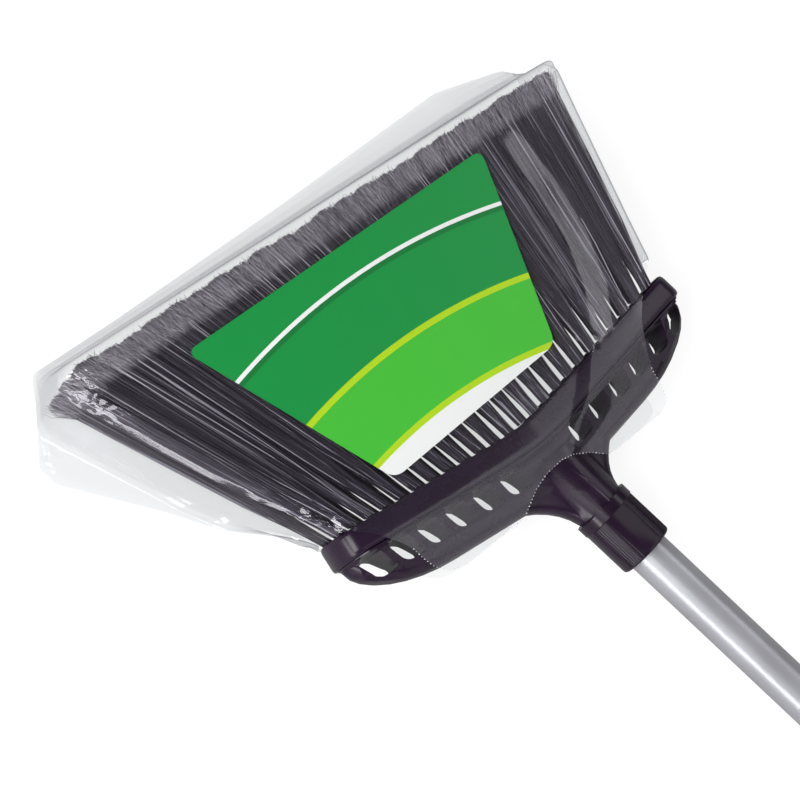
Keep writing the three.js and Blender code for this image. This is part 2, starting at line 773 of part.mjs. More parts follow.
// Film is flat over the middle and turns round the sides: tightly, or slackly at the long side's flap
const TIGHT_SIDE = 14;
const SLACK_SIDE = 6;
const SIDE_SHARES = [0, 0.3, 0.6, 0.8, 0.87, 0.93, 0.98];
// At the flap the upper film drops to the floor: the share of its height that is left at each place
const FLAP_SHARES = [1, 1, 1, 1, 1, 0.16, 0];

function headStation(up, gap) {
  return {
    place: (across, z, trim) => onHead(across * (ARM_LENGTH + END_SLACK - trim), up, z),
    top: () => gap,
    low: () => -gap,
    longPower: TIGHT_SIDE,
  };
}

function cutStation(line, short, long, top, low, longPower) {
  return {
    place: (across, z, trim) => {
      const x = across * ((across < 0 ? short : long) - trim);
      return new THREE.Vector3(x, cutLine(x, line), z);
    },
    top,
    low,
    longPower,
  };
}

function bagStations(film) {
  const bar = BAR_THICK / 2 + FILM_LIFT + film;
  const top = SHELL_TOP_THICK / 2 + FILM_LIFT + film;
  const past = film ? 0 : OVERRUN;
  const half = (a, b) => (a + b) / 2;
  const above = (line) => () => faceAt(line) + CARD_COVER + film;
  const below = (line) => () => -faceAt(line) - FILM_LIFT - film;
  const onFloor = (y) => floorAt(y) + FILM - film;
  const overFloor = (height) => (y) => floorAt(y) + height + film;
  const close = {
    line: FACE_LINE - CLOSE_DROP,
    short: ARM_LENGTH + CLOSE_SHORT_SLACK,
    long: ARM_LENGTH + CLOSE_LONG_SLACK,
  };
  const flap = {
    line: TIP_Y + FLAP_RISE,
    short: FLAP_SHORT_SLACK - TIP_SHORT_X,
    long: FLAP_LONG_SLACK + TIP_LONG_X,
  };
  const middle = {
    line: half(close.line, flap.line),
    short: half(close.short, flap.short),
    long: half(close.long, flap.long),
  };
  const tips = { line: TIP_Y - FILM_LIFT, short: TIP_SLACK - TIP_SHORT_X, long: TIP_SLACK + TIP_LONG_X };
  const seal = {
    line: TIP_Y - SEAL_DROP,
    short: SEAL_SHORT_SLACK - TIP_SHORT_X,
    long: TIP_LONG_X - SEAL_LONG_INSET,
  };
  const fall = {
    line: half(tips.line, seal.line),
    short: half(tips.short, seal.short),
    long: half(tips.long, seal.long),
  };
  const across = ({ line, short, long }, high, low, power) => cutStation(line, short, long, high, low, power);
  return [
    headStation(SHELL_TOP + LIP_RISE + past, LIP_GAP / 2 + film),
    headStation(SHELL_TOP, top + SEAT),
    headStation(SHELL_TOP - SHELL_TOP_THICK / 2, top + OVERRUN),
    headStation(BAR_HALF + BAR_CORNER, bar),
    headStation(-BAR_HALF - FILM_LIFT, bar),
    across(close, above(close.line), below(close.line), TIGHT_SIDE),
    across(middle, above(middle.line), below(middle.line), SLACK_SIDE),
    { ...across(flap, above(flap.line), onFloor, SLACK_SIDE), flapTop: overFloor(FLAP_HEIGHT) },
    across(tips, above(tips.line), onFloor, TIGHT_SIDE),
    across(fall, overFloor(FALL_HEIGHT), onFloor, SLACK_SIDE),
    cutStation(seal.line + past, seal.short, seal.long, overFloor(SEAL_THICK - FILM), onFloor, SLACK_SIDE),
  ];
}

function bagSkin(film) {
  const trim = FILM - film;
  const across = [-1, ...SIDE_SHARES.slice(1).reverse().map((share) => -share), ...SIDE_SHARES, 1];
  const rings = bagStations(film).map(({ place, top, low, longPower, flapTop }) => {
    const heightAt = (share, level, y) => {
      if (flapTop && share > 0) {
        if (share === 1) return (flapTop(y) + low(y)) / 2;
        const left = FLAP_SHARES[SIDE_SHARES.indexOf(share)];
        return level < 0 ? low(y) : flapTop(y) + (top(y) - flapTop(y)) * left;
      }
      const power = share < 0 ? TIGHT_SIDE : longPower;
      const fullness = Math.pow(1 - Math.pow(Math.abs(share), power), 1 / power);
      return (top(y) + low(y)) / 2 + (level * fullness * (top(y) - low(y))) / 2;
    };
    const points = (level, list) =>
      list.map((share) => place(share, heightAt(share, level, place(share, 0, trim).y), trim));
    return [...points(1, across), ...points(-1, across.slice(1, -1).reverse())];
  });
  return loft(rings);
}

// The outline that both films are cut to: a lip above the shell with a notch for the neck, and
// two curved sides that leave the ends of the head bare. Shares are of the arm's length and of
// the shell's height above the bar's middle line.
const shortSideShares = [
  [-0.95, -0.5],
  [-0.81, -0.25],
  [-0.715, 0.05],
  [-0.66, 0.36],
  [-0.62, 0.7],
  [-0.59, 1.05],
  [-0.53, 1.34],
];
const longSideShares = [
  [0.58, 1.23],
  [0.65, 1.05],
  [0.69, 0.75],
  [0.74, 0.42],
  [0.81, 0.12],
  [0.9, -0.13],
  [1, -0.33],
];

function cutOutline() {
  const toPlace = ([along, up]) => {
    const place = onHead(along * ARM_LENGTH, up * SHELL_TOP, 0);
    return new THREE.Vector2(place.x, place.y);
  };
  const short = shortSideShares.map(toPlace);
  const long = longSideShares.map(toPlace);
  const lipAt = (x) => {
    const start = short[short.length - 1];
    const share = (x - start.x) / (long[0].x - start.x);
    return start.y + share * (long[0].y - start.y);
  };
  const far = 2 * Math.abs(TIP_Y);
  const shape = new THREE.Shape();
  shape.moveTo(-far, -far);
  shape.lineTo(-far, short[0].y);
  shape.lineTo(short[0].x, short[0].y);
  shape.splineThru(short.slice(1));
  shape.lineTo(-NOTCH_SHORT, lipAt(-NOTCH_SHORT));
  shape.bezierCurveTo(-NOTCH_SHORT, BOSS_BOTTOM, NOTCH_LONG, BOSS_BOTTOM, NOTCH_LONG, lipAt(NOTCH_LONG));
  shape.lineTo(long[0].x, long[0].y);
  shape.splineThru(long.slice(1));
  shape.lineTo(far, long[long.length - 1].y);
  shape.lineTo(far, -far);
  return shape;
}

function polyBag() {
  const cut = solid(plate(cutOutline(), -2 * BAR_THICK, 2 * BAR_THICK, 5));
  return bagSkin(FILM).subtract(bagSkin(0)).intersect(cut);
}

// Colours and finishes
const finish = (color, roughness, metalness = 0) => ({ color, roughness, metalness });
const BLACK_PLASTIC = finish(0x2a2530, 0.42);
const FIBRE = finish(0x2b2630, 0.5);
const STEEL = finish(0xc4c5cc, 0.3, 0.85);
const GRIP = finish(0x232026, 0.8);
const CLEAR_FILM = finish(0xe4e6e8, 0.15);
const PRINTED_CARD = finish(0x0a9340, 0.35);

const model = new THREE.Group();

function place(name, manifold, look) {
  const mesh = new THREE.Mesh(geometryOf(manifold), new THREE.MeshStandardMaterial(look));
  mesh.name = name;
  model.add(mesh);
}

place("head_shell", headShell(), BLACK_PLASTIC);
place("fibre_block", fibreBlock(), BLACK_PLASTIC);
const BRISTLE_PARTS = 4;
for (let part = 0; part < BRISTLE_PARTS; part += 1) {
  place(`bristles_${part + 1}`, bristles(part, BRISTLE_PARTS), FIBRE);
}
place("handle_tube", handleTube(), STEEL);
place("tip_plug", tipPlug(), BLACK_PLASTIC);
place("seat_ring", seatRing(), BLACK_PLASTIC);
place("locking_collar", lockingCollar(), BLACK_PLASTIC);
place("comfort_grip", comfortGrip(), GRIP);
place("hang_cap", hangCap(), BLACK_PLASTIC);
place("label_card", labelCard(), PRINTED_CARD);
place("poly_bag", polyBag(), CLEAR_FILM);

// Tipped to lie on the floor, with the origin under the middle of the whole broom
model.rotation.x = -TIPPING;
model.updateMatrixWorld(true);
const box = new THREE.Box3().setFromObject(model, true);
const centre = box.getCenter(new THREE.Vector3());
model.position.set(-centre.x, -centre.y, -box.min.z);

const broom = new THREE.Group();
broom.add(model);
export default broom;
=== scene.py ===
"""An angle broom in its sales bag: finishes, fibre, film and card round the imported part."""

import json
import math
import random

import bmesh
import bpy
from mathutils import Matrix, Vector, noise


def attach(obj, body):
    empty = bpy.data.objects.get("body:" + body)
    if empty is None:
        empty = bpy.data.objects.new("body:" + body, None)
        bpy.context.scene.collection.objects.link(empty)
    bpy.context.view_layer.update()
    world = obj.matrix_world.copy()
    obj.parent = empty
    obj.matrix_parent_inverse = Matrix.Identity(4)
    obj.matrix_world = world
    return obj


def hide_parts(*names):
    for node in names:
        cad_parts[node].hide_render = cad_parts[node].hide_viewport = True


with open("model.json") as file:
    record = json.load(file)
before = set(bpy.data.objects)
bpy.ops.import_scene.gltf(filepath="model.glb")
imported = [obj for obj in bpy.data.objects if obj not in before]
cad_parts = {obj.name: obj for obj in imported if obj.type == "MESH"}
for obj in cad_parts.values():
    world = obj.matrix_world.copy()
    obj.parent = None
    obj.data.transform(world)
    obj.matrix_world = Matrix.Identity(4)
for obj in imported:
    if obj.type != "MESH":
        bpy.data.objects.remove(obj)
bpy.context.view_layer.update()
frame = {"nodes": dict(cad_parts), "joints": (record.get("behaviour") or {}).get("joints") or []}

# Shapes are drawn in millimetres along the broom: X along the bar towards the long fibre, Y up
# the handle, Z out of the labelled face. The broom lies tipped a little, as its collar's axis says.
MM = 0.001
COLLAR_LOW = -16.9
collar_turn = next(joint for joint in frame["joints"] if joint["name"] == "collar_turn")
HANDLE_WAY = Vector(collar_turn["axis"]).normalized()
BAR_WAY = Vector((1, 0, 0))
FACE_WAY = BAR_WAY.cross(HANDLE_WAY)
ORIGIN = Vector(collar_turn["pos_m"]) - HANDLE_WAY * COLLAR_LOW * MM
BROOM = Matrix.Translation(ORIGIN) @ Matrix((BAR_WAY, HANDLE_WAY, FACE_WAY)).transposed().to_4x4()
FROM_MM = BROOM @ Matrix.Scale(MM, 4)
TIPPING = math.asin(-HANDLE_WAY.z)

# Sizes of the head, as the solids have them
ARM_ANGLE = math.radians(15.5)
BEND_RADIUS = 150
BEND_X = 4
BEND_Y = -72.8
BAR_HALF = 7.5
COLUMNS = 24
ROW_COUNT = 4
FIRST_COLUMN = 124.5
OUTER_ROW = 16.2
TIP_SHORT_X = -176
TIP_LONG_X = 171
TIP_Y = -246
TIP_HALF = 26.5
CUT_SLOPE = math.tan(math.radians(11.15))
REST_DROP = 30.2


def clamp(value, low, high):
    return min(high, max(low, value))


def smooth_step(value):
    value = clamp(value, 0, 1)
    return value * value * (3 - 2 * value)


def mix(a, b, share):
    return a + (b - a) * share


def middle_line(along):
    """The bar's middle line and its heading at a distance along it from the bend."""
    half = BEND_RADIUS * ARM_ANGLE / 2
    turn = ARM_ANGLE * clamp((along + half) / (2 * half), 0, 1)
    rest = along + half - BEND_RADIUS * turn
    start = BEND_X - BEND_RADIUS * math.tan(ARM_ANGLE / 2)
    x = start + BEND_RADIUS * math.sin(turn) + rest * math.cos(turn)
    y = BEND_Y - BEND_RADIUS * (1 - math.cos(turn)) - rest * math.sin(turn)
    return x, y, -turn


def on_head(along, up, out):
    x, y, heading = middle_line(along)
    return Vector((x - up * math.sin(heading), y + up * math.cos(heading), out))


def floor_at(y):
    return -REST_DROP + (y - TIP_Y) * math.tan(TIPPING)


def hex_colour(text):
    """Linear red, green, blue and alpha of an sRGB hex colour."""
    parts = [int(text[i : i + 2], 16) / 255 for i in (0, 2, 4)]
    return [v / 12.92 if v <= 0.04045 else ((v + 0.055) / 1.055) ** 2.4 for v in parts] + [1]


def add_node(tree, kind, inputs=None, stops=(), **settings):
    """Adds a node. Each input is a value, a socket to link from, or a node with that socket first.
    A ramp's stops are its places from 0 to 1, each with an sRGB hex colour."""
    made = tree.nodes.new(f"ShaderNode{kind}")
    for name, value in settings.items():
        setattr(made, name, value)
    for name, value in (inputs or {}).items():
        if isinstance(value, bpy.types.Node):
            value = value.outputs[0]
        if isinstance(value, bpy.types.NodeSocket):
            tree.links.new(value, made.inputs[name])
        else:
            made.inputs[name].default_value = value
    elements = made.color_ramp.elements if stops else ()
    while len(elements) < len(stops):
        elements.new(0.5)
    for element, (position, colour) in zip(elements, stops):
        element.position = position
        element.color = hex_colour(colour)
    return made


def new_material(name):
    material = bpy.data.materials.new(name)
    material.use_nodes = True
    material.node_tree.nodes.clear()
    return material, material.node_tree


def moulded_plastic(name, dark, light, roughness, grain_mm):
    """Injection-moulded polymer: a satin black that scatters soft highlights off a fine grain."""
    material, tree = new_material(name)
    place = add_node(tree, "TexCoord").outputs["Object"]
    cloud = add_node(tree, "TexNoise", {"Vector": place, "Scale": 1 / (18 * MM), "Detail": 3})
    grain = add_node(tree, "TexNoise", {"Vector": place, "Scale": 1 / (grain_mm * MM), "Detail": 2})
    colour = add_node(tree, "ValToRGB", {"Fac": cloud}, stops=[(0.3, dark), (0.7, light)])
    rough_range = {"To Min": roughness - 0.02, "To Max": roughness + 0.03}
    rough = add_node(tree, "MapRange", {"Value": cloud, **rough_range})
    depth = grain_mm * MM / 8
    relief = add_node(tree, "Bump", {"Height": grain, "Strength": 0.1, "Distance": depth})
    shader = add_node(
        tree,
        "BsdfPrincipled",
        {
            "Base Color": colour,
            "Roughness": rough,
            "Normal": relief,
            "IOR": 1.49,
            "Specular IOR Level": 0.36,
        },
    )
    add_node(tree, "OutputMaterial", {"Surface": shader})
    return material


def drawn_steel(name):
    """Thin-wall steel tube with a satin silver coat: fine lines along the draw blur its highlight."""
    material, tree = new_material(name)
    place = add_node(tree, "TexCoord").outputs["Object"]
    lines = add_node(tree, "Mapping", {"Vector": place, "Scale": (1, 0.02, 1)})
    streak = add_node(tree, "TexNoise", {"Vector": lines, "Scale": 1 / (0.6 * MM), "Detail": 2})
    patch = add_node(tree, "TexNoise", {"Vector": place, "Scale": 1 / (40 * MM), "Detail": 3})
    greys = [(0.3, "a2a2a8"), (0.7, "adadb4")]
    colour = add_node(tree, "ValToRGB", {"Fac": patch}, stops=greys)
    rough = add_node(tree, "MapRange", {"Value": streak, "To Min": 0.3, "To Max": 0.4})
    relief = add_node(tree, "Bump", {"Height": streak, "Strength": 0.06, "Distance": 0.05 * MM})
    shader = add_node(
        tree,
        "BsdfPrincipled",
        {"Base Color": colour, "Metallic": 0.5, "Roughness": rough, "Normal": relief},
    )
    add_node(tree, "OutputMaterial", {"Surface": shader})
    return material


def soft_grip(name):
    """Dipped foam sleeve: a dull black with the pitted skin of cured foam."""
    material, tree = new_material(name)
    place = add_node(tree, "TexCoord").outputs["Object"]
    pits = add_node(tree, "TexVoronoi", {"Vector": place, "Scale": 1 / (0.9 * MM)})
    blacks = [(0.0, "151317"), (0.6, "232026")]
    colour = add_node(tree, "ValToRGB", {"Fac": pits}, stops=blacks)
    relief = add_node(tree, "Bump", {"Height": pits, "Strength": 0.4, "Distance": 0.15 * MM})
    shader = add_node(
        tree, "BsdfPrincipled", {"Base Color": colour, "Roughness": 0.82, "Normal": relief}
    )
    add_node(tree, "OutputMaterial", {"Surface": shader})
    return material


def past_tips(tree):
    """How far a point lies from the slanted cut of the tips, up towards the head, in metres."""
    way = BROOM.to_3x3() @ Vector((CUT_SLOPE, 1, 0)).normalized()
    start = BROOM @ Vector((0, TIP_Y * MM, 0))
    place = add_node(tree, "TexCoord").outputs["Object"]
    shifted = add_node(tree, "VectorMath", {0: place, 1: start}, operation="SUBTRACT")
    reach = add_node(tree, "VectorMath", {0: shifted, 1: way}, operation="DOT_PRODUCT")
    return reach.outputs["Value"]


def flagged_fibre(name, flag_mm):
    """Extruded polymer fibre: black, with a few fibres painted pale grey as glints, and split into
    grey fuzz at the tips.
    """
    material, tree = new_material(name)
    each = add_node(tree, "NewGeometry").outputs["Random Per Island"]
    # The top stops of this ramp paint random fibres pale grey: painted glints, whatever the lamps do
    fibre_and_glint_stops = [(0.0, "1a1520"), (0.68, "2b2432"), (0.86, "504958"), (1.0, "bab6c2")]
    tip_stops = [(0.0, "4f4a53"), (0.5, "8b868f"), (1.0, "b5b1b9")]
    body = add_node(tree, "ValToRGB", {"Fac": each}, stops=fibre_and_glint_stops)
    tip = add_node(tree, "ValToRGB", {"Fac": each}, stops=tip_stops)
    height = past_tips(tree)
    flag_range = {"From Min": flag_mm * MM, "From Max": 0.7 * flag_mm * MM}
    split = add_node(tree, "MapRange", {"Value": height, **flag_range})
    # The very ends stand apart, so that the black between them shows
    end_range = {"From Min": 0, "From Max": 5 * MM, "To Min": 0.3}
    thinned = add_node(tree, "MapRange", {"Value": height, **end_range})
    share = add_node(tree, "Math", {0: split, 1: thinned}, operation="MULTIPLY")
    blend = add_node(tree, "MixRGB", {"Fac": share, "Color1": body, "Color2": tip})
    rough = add_node(tree, "MapRange", {"Value": share, "To Min": 0.28, "To Max": 0.8})
    shader = add_node(tree, "BsdfPrincipled", {"Base Color": blend, "Roughness": rough})
    add_node(tree, "OutputMaterial", {"Surface": shader})
    return material


def printed_card(name):
    """Coated card with a litho print: broad green sweeps under a thin gloss varnish."""
    material, tree = new_material(name)
    place = add_node(tree, "TexCoord").outputs["Object"]
    centre = BROOM @ Vector((0.02, -0.16, 0.024)) + Vector((0.06, 0.34, 0))
    way = add_node(tree, "VectorMath", {0: place, 1: centre}, operation="SUBTRACT")
    flat = add_node(tree, "VectorMath", {0: way, 1: Vector((1, 1, 0))}, operation="MULTIPLY")
    reach = add_node(tree, "VectorMath", {0: flat}, operation="LENGTH").outputs["Value"]
    share = add_node(tree, "MapRange", {"Value": reach, "From Min": 0.27, "From Max": 0.42})
    stops = [
        (0.0, "f3f3f1"),
        (0.22, "b5d90f"),
        (0.245, "45bf35"),
        (0.5, "b5d90f"),
        (0.52, "0a9340"),
        (0.78, "067a35"),
        (0.8, "f3f3f1"),
        (0.815, "0a9340"),
    ]
    print_colour = add_node(tree, "ValToRGB", {"Fac": share}, stops=stops)
    print_colour.color_ramp.interpolation = "CONSTANT"
    shader = add_node(
        tree,
        "BsdfPrincipled",
        {"Base Color": print_colour, "Roughness": 0.38, "IOR": 1.5, "Specular IOR Level": 0.25},
    )
    add_node(tree, "OutputMaterial", {"Surface": shader})
    return material


def clear_film(name, face_on, edge_on):
    """Blown polyethylene film: clear, with a soft gloss, and greyer where it is seen edge on."""
    material, tree = new_material(name)
    place = add_node(tree, "TexCoord").outputs["Object"]
    wave = add_node(tree, "TexNoise", {"Vector": place, "Scale": 1 / (35 * MM), "Detail": 1})
    relief = add_node(tree, "Bump", {"Height": wave, "Strength": 0.25, "Distance": 0.6 * MM})
    # Facing is the same on both sides of a sheet, which a Fresnel value isn't
    slant = add_node(tree, "LayerWeight", {"Blend": 0.5, "Normal": relief}).outputs["Facing"]
    graze = add_node(tree, "Math", {0: slant, 1: 5}, operation="POWER")
    mirror = add_node(tree, "MapRange", {"Value": graze, "To Min": 0.075, "To Max": 0.9})
    tints = [(0.1, face_on), (0.9, edge_on)]
    thick = add_node(tree, "ValToRGB", {"Fac": slant}, stops=tints)
    through = add_node(tree, "BsdfTransparent", {"Color": thick})
    sharp, soft = [
        add_node(
            tree,
            "BsdfPrincipled",
            {
                "Base Color": hex_colour(tint),
                "Metallic": 1.0,
                "Roughness": roughness,
                "Normal": relief,
            },
        )
        for tint, roughness in (("f0f1f4", 0.09), ("e3d5ed", 0.32))
    ]
    gloss = add_node(tree, "MixShader", {"Fac": 0.35, 1: sharp, 2: soft})
    film = add_node(tree, "MixShader", {"Fac": mirror, 1: through, 2: gloss})
    add_node(tree, "OutputMaterial", {"Surface": film})
    return material


def stressed_film(name):
    """Polyethylene that was stretched until it tore: it turns milky white and dull."""
    material, tree = new_material(name)
    place = add_node(tree, "TexCoord").outputs["Object"]
    patch = add_node(tree, "TexNoise", {"Vector": place, "Scale": 1 / (1.5 * MM)})
    whites = [(0.35, "a9a7ae"), (0.65, "e2e2e6")]
    colour = add_node(tree, "ValToRGB", {"Fac": patch}, stops=whites)
    shader = add_node(tree, "BsdfPrincipled", {"Base Color": colour, "Roughness": 0.55})
    add_node(tree, "OutputMaterial", {"Surface": shader})
    return material


PLASTIC = moulded_plastic("moulded_black_polypropylene", "1c1020", "241629", 0.27, 0.5)
COLLAR_PLASTIC = moulded_plastic("moulded_black_nylon", "1a0f1d", "211425", 0.23, 0.4)
STEEL = drawn_steel("satin_silver_steel_tube")
GRIP = soft_grip("black_foam_grip")
FIBRE = flagged_fibre("black_flagged_fibre", 19)
CARD = printed_card("printed_coated_card")
FILM = clear_film("clear_polyethylene_film", "fafbfb", "e1e2e4")
NICK = stressed_film("whitened_polyethylene")
UNDER_FILM = clear_film("doubled_polyethylene_film", "fbfcfc", "e1e2e4")


def finish_piece(name, mesh, material, body, replaced, sharp_angle=180):
    """Makes a mesh a piece that moves with a body and stands for a solid."""
    mesh.materials.clear()
    mesh.materials.append(material)
    mesh.shade_smooth()
    mesh.set_sharp_from_angle(angle=math.radians(sharp_angle))
    piece = bpy.data.objects.new(name, mesh)
    bpy.context.scene.collection.objects.link(piece)
    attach(piece, body)
    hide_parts(replaced)
    return piece


def mesh_of(name, shape):
    mesh = bpy.data.meshes.new(name)
    shape.to_mesh(mesh)
    shape.free()
    return mesh


def smooth_copy(node, name, material, body, sharp_angle=32):
    """The solid again with its facets joined, so that its curves shade smoothly."""
    shape = bmesh.new()
    shape.from_mesh(frame["nodes"][node].data)
    bmesh.ops.remove_doubles(shape, verts=shape.verts, dist=0.002 * MM)
    bmesh.ops.dissolve_limit(
        shape, angle_limit=math.radians(0.6), verts=shape.verts, edges=shape.edges
    )
    return finish_piece(name, mesh_of(name, shape), material, body, node, sharp_angle)


shell_body = smooth_copy("head_shell", "shell_body", PLASTIC, "head")
rims = shell_body.modifiers.new("rims", "BEVEL")
rims.width = 0.8 * MM
rims.segments = 3
rims.limit_method = "ANGLE"
rims.angle_limit = math.radians(50)
rims.use_clamp_overlap = True
rims.harden_normals = True
smooth_copy("fibre_block", "block_body", PLASTIC, "head")
smooth_copy("locking_collar", "collar_body", COLLAR_PLASTIC, "collar")
smooth_copy("hang_cap", "cap_body", PLASTIC, "handle")
smooth_copy("comfort_grip", "grip_body", GRIP, "handle", sharp_angle=50)
smooth_copy("handle_tube", "tube_body", STEEL, "handle")
for node, material in (("tip_plug", PLASTIC), ("seat_ring", COLLAR_PLASTIC), ("label_card", CARD)):
    frame["nodes"][node].data.materials.clear()
    frame["nodes"][node].data.materials.append(material)


FIBRES_PER_TUFT = 172
FIBRE_THICK = 0.5
SPLIT_THICK = 0.22
SPLITS = 3
TUFT_RADIUS = 3.3
ROOT_DEPTH = 0.5
# Each tuft fans out into a cell of the tips' cut, and over its edge into the next one
TIP_CELL = 12
CELL_REACH = TIP_CELL / 2 + 3
TIP_SPREAD = 8.5
OUTER_TIP = TIP_HALF - 4
# How much of a fibre's place in its cell is its own, and not its place in the tuft
TIP_FREEDOM = 0.8
TUFT_TRIM = 2.4
TUFT_DOME = 1.8
PATH_SHARES = (0, 0.06, 0.14, 0.3, 0.6, 1)
shuffle = random.Random(11)


def tip_place(along, aside, out):
    share = (along + FIRST_COLUMN) / (2 * FIRST_COLUMN)
    x = mix(TIP_SHORT_X + TIP_CELL / 2, TIP_LONG_X - TIP_CELL / 2, share) + aside
    return Vector((x, TIP_Y - CUT_SLOPE * x, out))


def tufts():
    """Where each tuft leaves the block: its place along the bar and its place across it."""
    pitch = 2 * FIRST_COLUMN / (COLUMNS - 1)
    for row in range(ROW_COUNT):
        for column in range(COLUMNS - row % 2):
            yield (
                -FIRST_COLUMN + (column + (row % 2) / 2) * pitch,
                -OUTER_ROW + 2 * OUTER_ROW * row / (ROW_COUNT - 1),
            )


def in_disc(radius):
    turn = shuffle.uniform(0, 2 * math.pi)
    reach = radius * math.sqrt(shuffle.random())
    return reach * math.cos(turn), reach * math.sin(turn)


def fibre_path(along, out, trim):
    """A fibre's points from the block to its tip, in its tuft's cell of the cut face."""
    root_a, root_b = in_disc(TUFT_RADIUS)
    tip_a = mix(root_a / TUFT_RADIUS, shuffle.uniform(-1, 1), TIP_FREEDOM) * CELL_REACH
    tip_b = mix(root_b / TUFT_RADIUS, shuffle.uniform(-1, 1), TIP_FREEDOM) * TIP_SPREAD
    root = on_head(along + root_a, -BAR_HALF - ROOT_DEPTH, out + root_b)
    tip_out = out * OUTER_TIP / OUTER_ROW
    reach = TIP_HALF - abs(shuffle.gauss(0, 0.8))
    tip_middle = tip_place(along, 0, tip_out)
    tip = tip_place(along, tip_a, clamp(tip_out + tip_b, -reach, reach))
    past = clamp(tip.x, TIP_SHORT_X, TIP_LONG_X) - tip.x
    tip = tip + Vector((past, -CUT_SLOPE * past, 0))
    way = (tip - root).normalized()
    dome = TUFT_DOME * (tip_a / CELL_REACH) ** 2
    tip = tip - way * (trim + dome + abs(shuffle.gauss(0, 0.9)))
    sway = Vector((shuffle.gauss(0, 0.6), 0, shuffle.gauss(0, 0.5)))
    middle = on_head(along, -BAR_HALF - ROOT_DEPTH, out)
    points = []
    for share in PATH_SHARES:
        spread = mix(share, smooth_step(share / 0.4), 0.35)
        core = middle.lerp(tip_middle, share)
        aside = (root - middle) * (1 - share) + (tip - tip_middle) * spread
        points.append(core + aside + sway * math.sin(math.pi * share))
    return points


def split_paths(points):
    """The flagged end of a fibre: finer ends that part from it over the last stretch."""
    end, before = points[-1], points[-2]
    way = (end - before).normalized()
    start = end - way * shuffle.uniform(12, 18)
    for _ in range(SPLITS):
        curl = Vector((shuffle.gauss(0, 1.7), shuffle.gauss(0, 0.6), shuffle.gauss(0, 1)))
        spread = Vector((shuffle.gauss(0, 2.8), shuffle.gauss(0, 0.8), shuffle.gauss(0, 1.3)))
        last = end + spread + way * shuffle.uniform(-5, 0.3)
        last.z = clamp(last.z, -TIP_HALF, TIP_HALF)
        yield [start, start.lerp(last, 0.55) + curl, last]


def strands_piece(name, paths, thick, replaced):
    """Many thin strands, swept along their paths as one piece."""
    curve = bpy.data.curves.new(name, "CURVE")
    curve.dimensions = "3D"
    curve.bevel_depth = thick / 2 * MM
    curve.bevel_resolution = 0
    curve.use_fill_caps = False
    for path in paths:
        spline = curve.splines.new("POLY")
        spline.points.add(len(path) - 1)
        places = [value for point in path for value in (*(FROM_MM @ point), 1)]
        spline.points.foreach_set("co", places)
    swept = bpy.data.objects.new(name, curve)
    bpy.context.scene.collection.objects.link(swept)
    bpy.context.view_layer.update()
    evaluated = swept.evaluated_get(bpy.context.evaluated_depsgraph_get())
    mesh = bpy.data.meshes.new_from_object(evaluated)
    mesh.name = name
    bpy.data.objects.remove(swept)
    bpy.data.curves.remove(curve)
    finish_piece(name, mesh, FIBRE, "head", replaced)


fibres = [[], [], [], []]
flags = [[], [], [], []]
for along, out in tufts():
    quarter = min(3, int((along + FIRST_COLUMN + 1) / (2 * FIRST_COLUMN + 2) * 4))
    trim = shuffle.uniform(0, TUFT_TRIM)
    for _ in range(FIBRES_PER_TUFT):
        path = fibre_path(along, out, trim)
        fibres[quarter].append(path)
        flags[quarter].extend(split_paths(path))
for number, (whole, split) in enumerate(zip(fibres, flags), 1):
    strands_piece(f"fibre_{number}", whole, FIBRE_THICK, f"bristles_{number}")
    strands_piece(f"flags_{number}", split, SPLIT_THICK, f"bristles_{number}")


# The curve that both films are cut along, from the short side round the neck to the long side
CUT_CURVE = [
    (-128.5, -92.5),
    (-121, -89.5),
    (-105.5, -81.5),
    (-92.5, -71),
    (-85, -60.5),
    (-80, -49),
    (-78, -39),
    (-74, -29),
    (-66, -27),
    (-45, -30),
    (-28, -32),
    (-22, -34.5),
    (-15, -42),
    (-6.5, -48.5),
    (3, -52),
    (14.5, -53),
    (25, -51.5),
    (34, -48.5),
    (42, -45.5),
    (60, -48.5),
    (84, -52),
    (95, -57),
    (100, -65),
    (103, -81),
    (109, -92),
    (115, -102.5),
    (124.5, -113.5),
    (133.4, -119),
]
# The stretch of it that was torn along its nicks
TORN = slice(5, 24)
NICK_PITCH = 2.1
NICK_RADIUS = 0.37

# Height of the film above the handle's axis, by the distance up from the bar's middle line
FACE_START = -8
HEAD_HEIGHTS = [(FACE_START, 24.6), (4.5, 22.8), (11, 21.3), (26, 13.2), (35, 11.3), (49, 8.4)]
# and by the distance down from where the fibre starts
FACE_HEIGHTS = [(0, 24.6), (36, 24.7), (100, 27.2), (144, 29.3), (166, 29.7)]
# Edges of the flattened bag and of the bundle inside it, by the line of the cut that they lie on
SHORT_EDGE = [(-118, -130), (-225, -172), (-240, -178), (-250, -181), (-258, -185.5), (-267, -186)]
LONG_EDGE = [(-92.7, 133.4), (-157, 168), (-206, 200), (-218, 199.5), (-255, 170), (-266, 160)]
LONG_BUNDLE = [(-92.7, 129.5), (-246, 176), (-266, 168)]
SEALED_EDGE = [(-187, -262), (-181, -269), (-139, -279), (-13, -271), (110, -265.5), (162, -264.5)]
# How far the film has risen from the flap to the face, by its way across the slope between them
WALL_SHAPE = [
    (0, 0),
    (0.12, 0.08),
    (0.36, 0.8),
    (0.4, 0.86),
    (0.54, 0.917),
    (0.66, 0.953),
    (0.82, 0.988),
    (1, 1),
]
# and how far it has fallen beyond the tips, by its way to the seal: a taut slope with soft ends
END_SHAPE = [
    (0, 0),
    (0.06, 0.02),
    (0.13, 0.09),
    (0.2, 0.22),
    (0.4, 0.62),
    (0.6, 0.84),
    (0.8, 0.95),
    (0.95, 1),
]
# Rows of film run from the cut curve to the first line, on to the tips and down to the seal
FIRST_LINE = -118
TIPS_LINE = -245
SEAL_LINE = -264
LIP_SHARE = 0.24
TIPS_SHARE = 0.82
WAY_STEPS = 80
